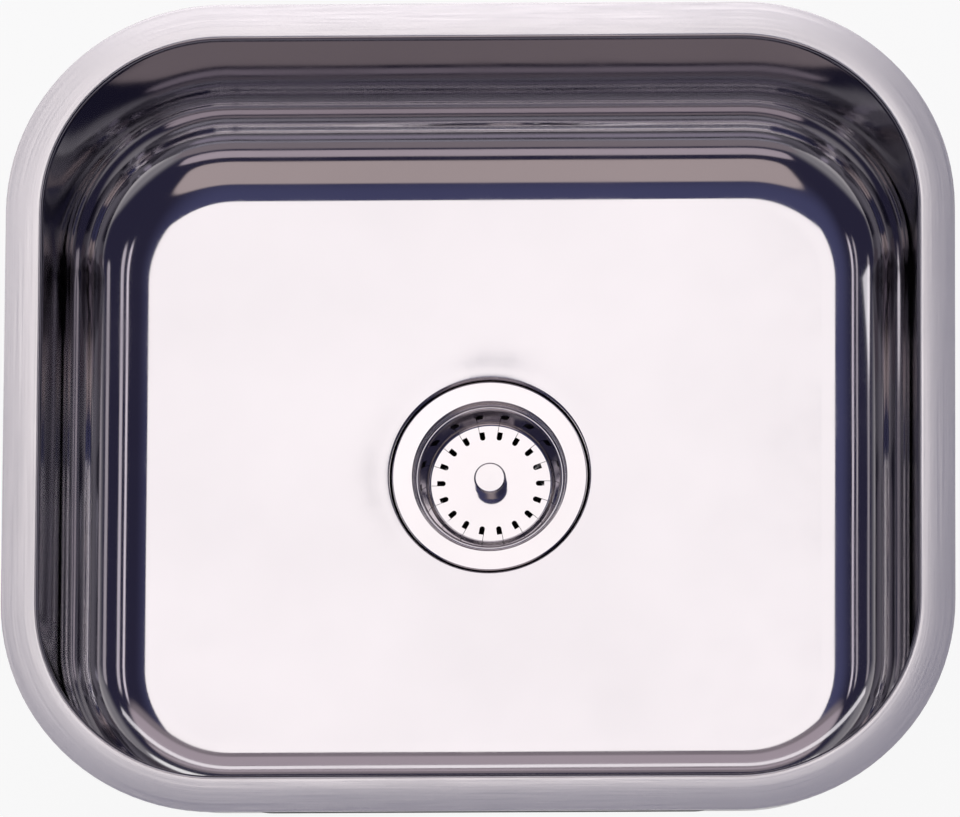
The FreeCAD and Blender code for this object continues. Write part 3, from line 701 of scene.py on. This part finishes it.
class SINK_OT_sound_pads(bpy.types.Operator):
    """Lay the sound pads on the walls and under the floor"""
    bl_idname = "sink.sound_pads"
    bl_label = "Sound pads"

    def execute(self, context):
        bowl, size = context.scene.sink_bowl, context.scene.sink_pads
        up = Vector((0.0, 0.0, 1.0))
        for side, way, reach, run in (
                ("front", (0, -1, 0), bowl.rim_width / 2, size.long_side),
                ("right", (1, 0, 0), bowl.rim_length / 2, size.short_side),
                ("back", (0, 1, 0), bowl.rim_width / 2, size.long_side),
                ("left", (-1, 0, 0), bowl.rim_length / 2, size.short_side)):
            out = Vector(way)
            normal = out * math.cos(bowl.draft) - up * math.sin(bowl.draft)
            rise = out * math.sin(bowl.draft) + up * math.cos(bowl.draft)
            wall = (reach - bowl.flange - size.middle * math.tan(bowl.draft)
                    + bowl.sheet / math.cos(bowl.draft))
            turn = Matrix((rise.cross(normal), rise, normal)).transposed().to_4x4()
            place = Matrix.Translation(out * wall - up * size.middle) @ turn
            pad = plate(side + "_pad_rubber", run, size.height, size.thickness, size.corner, place)
            dress(pad, "pad", "sink", side + "_pad")
        for side, x in (("left", -size.floor_place), ("right", size.floor_place)):
            place = Matrix.Translation((x, 0.0, -bowl.depth - bowl.sheet - size.thickness))
            pad = plate("floor_pad_rubber_" + side, size.floor_width, size.floor_length,
                        size.thickness, size.corner, place)
            dress(pad, "pad", "sink", "floor_pad_" + side)
        return {"FINISHED"}


class SINK_OT_waste(bpy.types.Operator):
    """Turn the waste body with hub and webs, and its threaded outlet"""
    bl_idname = "sink.waste"
    bl_label = "Waste body"

    def execute(self, context):
        size = context.scene.sink_waste
        shell = lathe("waste_body_plastic", [
            (size.bore, size.top), (size.rim, size.top), (size.rim, size.top - size.rim_height),
            (size.body, size.top - size.rim_height),
            (size.body, size.funnel - (size.body - size.bore) / 2),
            (size.outlet, size.neck), (size.outlet_bore, size.neck), (size.bore, size.funnel)], 128)
        hub = lathe("waste_hub", [
            (size.screw_room, size.hub_top), (size.hub, size.hub_top), (size.hub, size.hub_foot),
            (size.insert_room, size.hub_foot), (size.insert_room, size.hub_top - 2.0 * MM),
            (size.screw_room, size.hub_top - 2.0 * MM)], 64)
        parts = [hub] + [self.web(size, math.radians(90.0 * i)) for i in range(4)]
        settle()
        for part in parts + [shell]:
            part.select_set(True)
        context.view_layer.objects.active = shell
        bpy.ops.object.join()
        soften(shell, 0.5 * MM, 3)
        dress(shell, "plastic", "sink", "waste_body")
        self.outlet(context, size)
        return {"FINISHED"}

    def web(self, size, turn):
        """One web from the hub to the funnel, its outer end cut to the funnel's slope."""
        near, far = size.hub - 0.5 * MM, size.bore + 0.4 * MM
        level = size.funnel - size.web_height / 2
        obj = block((far - near, size.web, size.web_height), ((near + far) / 2, 0.0, level))
        select_where(lambda v: v.co.x > far - 0.1 * MM and v.co.z < level, "VERT")
        slope = (size.bore - size.outlet_bore) / (size.funnel - size.neck)
        bpy.ops.transform.translate(value=(-slope * size.web_height, 0.0, 0.0))
        swing(turn)
        return obj

    def outlet(self, context, size):
        """The outlet tube with its thread."""
        root = size.outlet - size.thread_depth
        tube = lathe("outlet_tube_plastic", [
            (size.outlet_bore, size.neck), (size.outlet, size.neck),
            (size.outlet, size.neck - 2.0 * MM),
            (root, size.neck - 2.8 * MM), (root, size.foot + 0.8 * MM), (root - 0.8 * MM, size.foot),
            (size.outlet_bore, size.foot)], 128)
        sunk = root - 0.2 * MM
        tooth = [(sunk, 0.0), (size.outlet, 0.38), (size.outlet, 0.50), (sunk, 0.88)]
        ridge = outline("outlet_thread", [(r, size.foot + 1.0 * MM + z * size.pitch) for r, z in tooth])
        add_modifier(ridge, "SCREW", axis="Z", angle=2 * math.pi, screw_offset=size.pitch,
                     iterations=size.turns, steps=72, render_steps=72, use_merge_vertices=True,
                     merge_threshold=1e-6)
        context.view_layer.objects.active = ridge
        bpy.ops.object.mode_set(mode="EDIT")
        select_where(lambda e: e.is_boundary, "EDGE")
        bpy.ops.mesh.fill()
        bpy.ops.mesh.select_all(action="SELECT")
        bpy.ops.mesh.normals_make_consistent(inside=False)
        settle()
        ridge.select_set(True)
        tube.select_set(True)
        context.view_layer.objects.active = tube
        bpy.ops.object.join()
        dress(tube, "plastic", "sink", "outlet_tube")


class SINK_OT_stopper(bpy.types.Operator):
    """Mould the rubber stopper with its soft lip"""
    bl_idname = "sink.stopper"
    bl_label = "Stopper"

    def execute(self, context):
        size = context.scene.sink_stopper
        obj = lathe("stopper_rubber_ring", [
            (size.bore, size.top), (size.shoulder, size.top), (size.shoulder, size.foot + size.lip),
            (size.radius, size.foot), (size.shoulder - size.skirt, size.foot),
            (size.shoulder - size.skirt, size.web), (size.bore, size.web)], 96)
        soften(obj, 0.6 * MM, 3)
        dress(obj, "seal", "basket", "stopper")
        return {"FINISHED"}


class SINK_OT_strainer_cup(bpy.types.Operator):
    """Turn the strainer cup and punch its outflow holes"""
    bl_idname = "sink.strainer_cup"
    bl_label = "Strainer cup"

    def execute(self, context):
        size = context.scene.sink_strainer
        t, top, bend = size.sheet, size.top, size.floor_bend
        ledge, floor = top - size.ledge_depth, top - size.depth
        lip, step, nose = 0.5 * MM, 0.8 * MM, 0.6 * MM
        section = [(size.flange, top - t * 0.35), (size.flange - lip, top)]
        section += arc((size.mouth + lip, top - lip), lip, 90.0, 180.0, 6)
        section += arc((size.mouth - step, ledge + step), step, 0.0, -90.0, 5)
        section += arc((size.ledge + nose, ledge - nose), nose, 90.0, 180.0, 4)
        section += arc((size.ledge - bend, floor + bend), bend, 0.0, -90.0, 8)
        section += [(size.screw_hole, floor), (size.screw_hole, floor - t)]
        section += arc((size.ledge - bend, floor + bend), bend + t, -90.0, 0.0, 8)
        section += [(size.ledge + t, ledge - t), (size.mouth + t, ledge - t),
                    (size.mouth + t, top - t), (size.flange, top - t)]
        obj = lathe("strainer_cup_steel", section, 128)
        cutters = []
        for i in range(size.outflows):
            turn = 2 * math.pi * i / size.outflows
            place = (size.outflow_ring * math.cos(turn), size.outflow_ring * math.sin(turn), floor)
            bpy.ops.mesh.primitive_cylinder_add(
                vertices=32, radius=size.outflow, depth=6.0 * MM, location=place)
            cutters.append(context.object)
        bored(obj, cutters)
        dress(obj, "strainer", "sink", "strainer_cup")
        return {"FINISHED"}


class SINK_OT_basket(bpy.types.Operator):
    """Turn the basket and cut the slots and slits in its floor"""
    bl_idname = "sink.basket"
    bl_label = "Basket"

    def execute(self, context):
        size = context.scene.sink_basket
        t, top = size.sheet, size.rim_top
        floor = top - size.depth
        wall = Vector((size.mouth - size.floor, size.depth)).normalized()
        out = Vector((wall.y, -wall.x))
        rise = math.degrees(math.atan2(wall.y, wall.x))
        bend = size.bend * 1.3
        middle = (size.floor - bend * math.tan(math.radians(rise / 2)), floor + bend)
        bead = (size.rim - size.mouth) / 2
        crown = (size.mouth + bead, top - bead)
        section = arc(crown, bead, 0.0, 90.0 + rise, 12)
        section += arc(middle, bend, rise - 90.0, -90.0, 8)
        section += [(size.stem_hole, floor), (size.stem_hole, floor - t)]
        section += arc(middle, bend + t, -90.0, rise - 90.0, 8)
        section += arc(crown, bead - t, 90.0 + rise, 0.0, 12)
        obj = lathe("basket_steel", section, 144)
        slots, slits = [], []
        for i in range(size.slots):
            turn = 2 * math.pi * i / size.slots
            slots.append(self.slot(size, turn, floor))
            slits.append(self.slit(size, turn, floor))
        bored(obj, slots)
        bored(obj, slits)
        dress(obj, "strainer", "basket", "basket")
        return {"FINISHED"}

    def slot(self, size, turn, floor):
        """A slot through the floor, rounded at its inner end."""
        cutter = block((size.slot_length, size.slot_width, CUT),
                       (size.slot_ring + size.slot_length / 2, 0.0, floor))
        select_where(lambda e: all(v.co.x < size.slot_ring + 0.1 * MM for v in e.verts)
                     and abs(e.verts[0].co.y - e.verts[1].co.y) < 1e-6, "EDGE")
        bpy.ops.mesh.bevel(offset=size.slot_width * 0.49, segments=6, profile=0.5)
        swing(turn)
        return cutter

    def slit(self, size, turn, floor):
        """The fine cut from one side of a slot out to the wall."""
        near, far = size.slot_ring + size.slot_length * 0.8, size.floor - 0.4 * MM
        cutter = block((far - near, size.slit, CUT),
                       ((near + far) / 2, (size.slot_width - size.slit) / 2, floor))
        swing(turn)
        return cutter


class SINK_OT_knob(bpy.types.Operator):
    """Turn the knob that lifts the basket"""
    bl_idname = "sink.knob"
    bl_label = "Knob"

    def execute(self, context):
        size = context.scene.sink_basket
        floor = size.rim_top - size.depth
        top = floor + size.knob_height
        edge, hole_end = 1.0 * MM, floor + 8.0 * MM
        section = [(0.0, top + 0.05 * MM), (size.knob * 0.6, top + 0.03 * MM)]
        section += arc((size.knob - edge, top - edge), edge, 90.0, 0.0, 6)
        section += [(size.knob + 0.3 * MM, floor + 0.4 * MM), (size.knob - 0.1 * MM, floor),
                    (size.stem_hole, floor), (size.stem_hole, hole_end), (0.0, hole_end)]
        obj = lathe("knob_steel", section, 96)
        dress(obj, "turned", "basket", "knob")
        return {"FINISHED"}


class SINK_OT_fittings(bpy.types.Operator):
    """Give the seals, screw, insert, stem, nut and bush their materials"""
    bl_idname = "sink.fittings"
    bl_label = "Fittings"

    def execute(self, context):
        look = finishes()
        for key, nodes in (
                ("seal", ("flange_seal", "body_gasket", "screw_washer")),
                ("fitting", ("clamp_screw", "stem", "stem_spacer", "stopper_plate", "stem_nut")),
                ("brass", ("brass_insert",)),
                ("plastic", ("stem_bush",))):
            for node in nodes:
                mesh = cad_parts[node].data
                mesh.materials.clear()
                mesh.materials.append(look[key])
        return {"FINISHED"}


def facing(back):
    """A rotation whose Z runs along a direction and whose X stays level."""
    back = Vector(back).normalized()
    across = (Vector((1.0, 0.0, 0.0)) - back * back.x).normalized()
    return Matrix((across, back.cross(across), back)).transposed().to_4x4()


def lamp(name, size, radiance, place, aim=(0.0, 0.0, 0.0), rgb=(1.0, 1.0, 1.0), mirrored=True):
    """A soft box of the given size whose face has the given brightness."""
    data = bpy.data.lights.new(name, "AREA")
    data.shape = "RECTANGLE"
    data.size, data.size_y = size
    data.energy = radiance * math.pi * size[0] * size[1]
    data.color = rgb
    obj = bpy.data.objects.new(name, data)
    bpy.context.scene.collection.objects.link(obj)
    obj.matrix_world = Matrix.Translation(place) @ facing(Vector(place) - Vector(aim))
    obj.visible_camera = False
    obj.visible_glossy = mirrored


class SINK_OT_stage(bpy.types.Operator):
    """Set the pale floor, the dark surround with its cards, the soft boxes and the camera"""
    bl_idname = "sink.stage"
    bl_label = "Stage"

    def execute(self, context):
        studio = context.scene.sink_studio
        self.ground(studio)
        self.surround(studio)
        self.soft_boxes()
        self.camera(studio)
        context.scene.view_settings.view_transform = "Standard"
        return {"FINISHED"}

    def ground(self, studio):
        """A floor that looks almost white and keeps the sink's shadow."""
        settle()
        whiteness, gap = 0.90, 0.5 * MM
        bpy.ops.mesh.primitive_plane_add(size=FLOOR_SIZE, location=(0.0, 0.0, cad_box[0][2] - gap))
        floor = bpy.context.object
        floor.name = "studio_floor"
        finish = Finish("studio_floor")
        finish.set(Base_Color=(*studio.floor, 1.0), Roughness=0.9, Specular_IOR_Level=0.1)
        glow = finish.node("ShaderNodeEmission", {"Color": (1.0, 1.0, 1.0, 1.0), "Strength": 1.0})
        path = finish.node("ShaderNodeLightPath")
        seen = finish.math("MAXIMUM", path.outputs["Is Camera Ray"], path.outputs["Is Glossy Ray"])
        seen = finish.math("MAXIMUM", seen, path.outputs["Is Transmission Ray"])
        share = finish.math("MULTIPLY", seen, whiteness)
        mix = finish.node("ShaderNodeMixShader",
                          {0: share, 1: finish.shader.outputs[0], 2: glow.outputs[0]})
        finish.links.new(mix.outputs[0], finish.nodes["Material Output"].inputs["Surface"])
        floor.data.materials.append(finish.material)

    def surround(self, studio):
        """A dark room with a pale skyline, and cards in it that the steel mirrors."""
        world = bpy.context.scene.world or bpy.data.worlds.new("studio")
        bpy.context.scene.world = world
        world.use_nodes = True
        world.node_tree.nodes.clear()
        graph = Graph(world.node_tree)
        toward = graph.node("ShaderNodeTexCoord").outputs["Generated"]
        way = graph.node("ShaderNodeSeparateXYZ", {0: toward})
        height = graph.math("MAXIMUM", way.outputs["Z"], 0.02)
        across = graph.math("DIVIDE", way.outputs["X"], height)
        along = graph.math("DIVIDE", way.outputs["Y"], height)

        def card(left, right, front, back, blur):
            """1 on a card with rounded corners and 0 off it."""
            parts = []
            for value, low, high in ((across, left, right), (along, front, back)):
                apart = graph.math("SUBTRACT", value, (low + high) / 2)
                apart = graph.math("DIVIDE", apart, (high - low) / 2)
                parts.append(graph.math("POWER", graph.math("ABSOLUTE", apart), 4.0))
            ring = graph.math("POWER", graph.math("ADD", *parts), 0.25)
            return graph.spread(ring, 1.0, 0.0, 1.0 - blur, 1.0 + blur, smooth=True)

        away = graph.math("SQRT", graph.math(
            "ADD", graph.math("POWER", across, 2.0), graph.math("POWER", along, 2.0)))
        askew = graph.math("SQRT", graph.math("ABSOLUTE", graph.math("MULTIPLY", across, along)))
        shade = studio.night
        for distance, share, start, end in ((askew, 0.5, 1.2, 1.7), (away, 1.0, 2.8, 3.8)):
            ring = graph.spread(distance, 0.0, share, start, end, smooth=True)
            shade = graph.blend(ring, shade, studio.skyline)
        for name, strength, *area in CARDS:
            shade = graph.blend(card(*area), shade, tone(getattr(studio, name), strength))
        back = graph.node("ShaderNodeBackground", {"Color": shade, "Strength": 1.0})
        out = graph.node("ShaderNodeOutputWorld")
        graph.links.new(back.outputs[0], out.inputs["Surface"])

    def soft_boxes(self):
        """A box that fills the floor's mirror image, a strip for the back flange, and fills."""
        tilt = math.radians(15.0)
        up = Vector((-0.02, math.sin(tilt), math.cos(tilt)))
        beside = Vector((0.0, math.cos(tilt), -math.sin(tilt)))
        aside = beside * 0.105 + Vector((-0.14, 0.0, 0.0))
        lamp("overhead_box", (0.82, 0.75), 1.18, up * 2.5 + aside, aim=aside, rgb=(1.0, 0.945, 0.90))
        lamp("strip_back", (1.10, 0.06), 0.8, (-0.12, 0.365, 0.33), aim=(-0.08, 0.22, 0.0),
             rgb=(1.0, 0.97, 1.0))
        lamp("fill_front", (3.0, 2.0), 0.9, (0.0, -4.0, 3.0), mirrored=False)
        lamp("fill_left", (3.0, 2.0), 0.9, (-4.0, 0.5, 2.5), mirrored=False)
        lamp("fill_right", (3.0, 2.0), 0.8, (4.0, 0.5, 2.5), mirrored=False)
        lamp("fill_top", (4.0, 4.0), 1.2, (0.0, 0.5, 5.0), mirrored=False)

    def camera(self, studio):
        """The photograph's view, its middle a little off the rim's."""
        data = bpy.data.cameras.new("photo_camera")
        camera = bpy.data.objects.new("photo_camera", data)
        bpy.context.scene.collection.objects.link(camera)
        data.sensor_width = 24.0
        data.lens = data.sensor_width * studio.distance * studio.scale / PICTURE_WIDTH
        back = Vector((math.tan(studio.sway), -math.tan(studio.tilt), 1.0)).normalized()
        turn = facing(back)
        across, above = turn.col[0].to_3d(), turn.col[1].to_3d()
        roll = Matrix.Rotation(-0.5 * across.y, 4, "Z")
        right, down = 0.0007, 0.0023
        place = back * studio.distance + across * right - above * down
        camera.matrix_world = Matrix.Translation(place) @ turn @ roll
        bpy.context.scene.camera = camera


class SINK_PT_panel(bpy.types.Panel):
    """The steps that dress the sink, in order"""
    bl_idname = "SINK_PT_panel"
    bl_label = "Sink"
    bl_space_type = "VIEW_3D"
    bl_region_type = "UI"
    bl_category = "Sink"

    def draw(self, context):
        column = self.layout.column(align=True)
        for step in STEPS:
            column.operator(step.bl_idname)


GROUPS = (
    ("sink_bowl", SinkBowlSizes),
    ("sink_pads", SinkPadSizes),
    ("sink_waste", SinkWasteSizes),
    ("sink_stopper", SinkStopperSizes),
    ("sink_strainer", SinkStrainerSizes),
    ("sink_basket", SinkBasketSizes),
    ("sink_finishes", SinkFinishes),
    ("sink_studio", SinkStudio),
)
STEPS = (SINK_OT_bowl, SINK_OT_sound_pads, SINK_OT_strainer_cup, SINK_OT_waste, SINK_OT_basket,
         SINK_OT_knob, SINK_OT_stopper, SINK_OT_fittings, SINK_OT_stage)


def register():
    for name, group in GROUPS:
        bpy.utils.register_class(group)
        setattr(bpy.types.Scene, name, PointerProperty(type=group))
    for step in STEPS:
        bpy.utils.register_class(step)
    bpy.utils.register_class(SINK_PT_panel)


def unregister():
    bpy.utils.unregister_class(SINK_PT_panel)
    for step in reversed(STEPS):
        bpy.utils.unregister_class(step)
    for name, group in reversed(GROUPS):
        delattr(bpy.types.Scene, name)
        bpy.utils.unregister_class(group)


def main():
    register()
    bpy.ops.sink.bowl()
    bpy.ops.sink.sound_pads()
    bpy.ops.sink.strainer_cup()
    bpy.ops.sink.waste()
    bpy.ops.sink.basket()
    bpy.ops.sink.knob()
    bpy.ops.sink.stopper()
    bpy.ops.sink.fittings()
    bpy.ops.sink.stage()


if __name__ == "__main__":
    main()
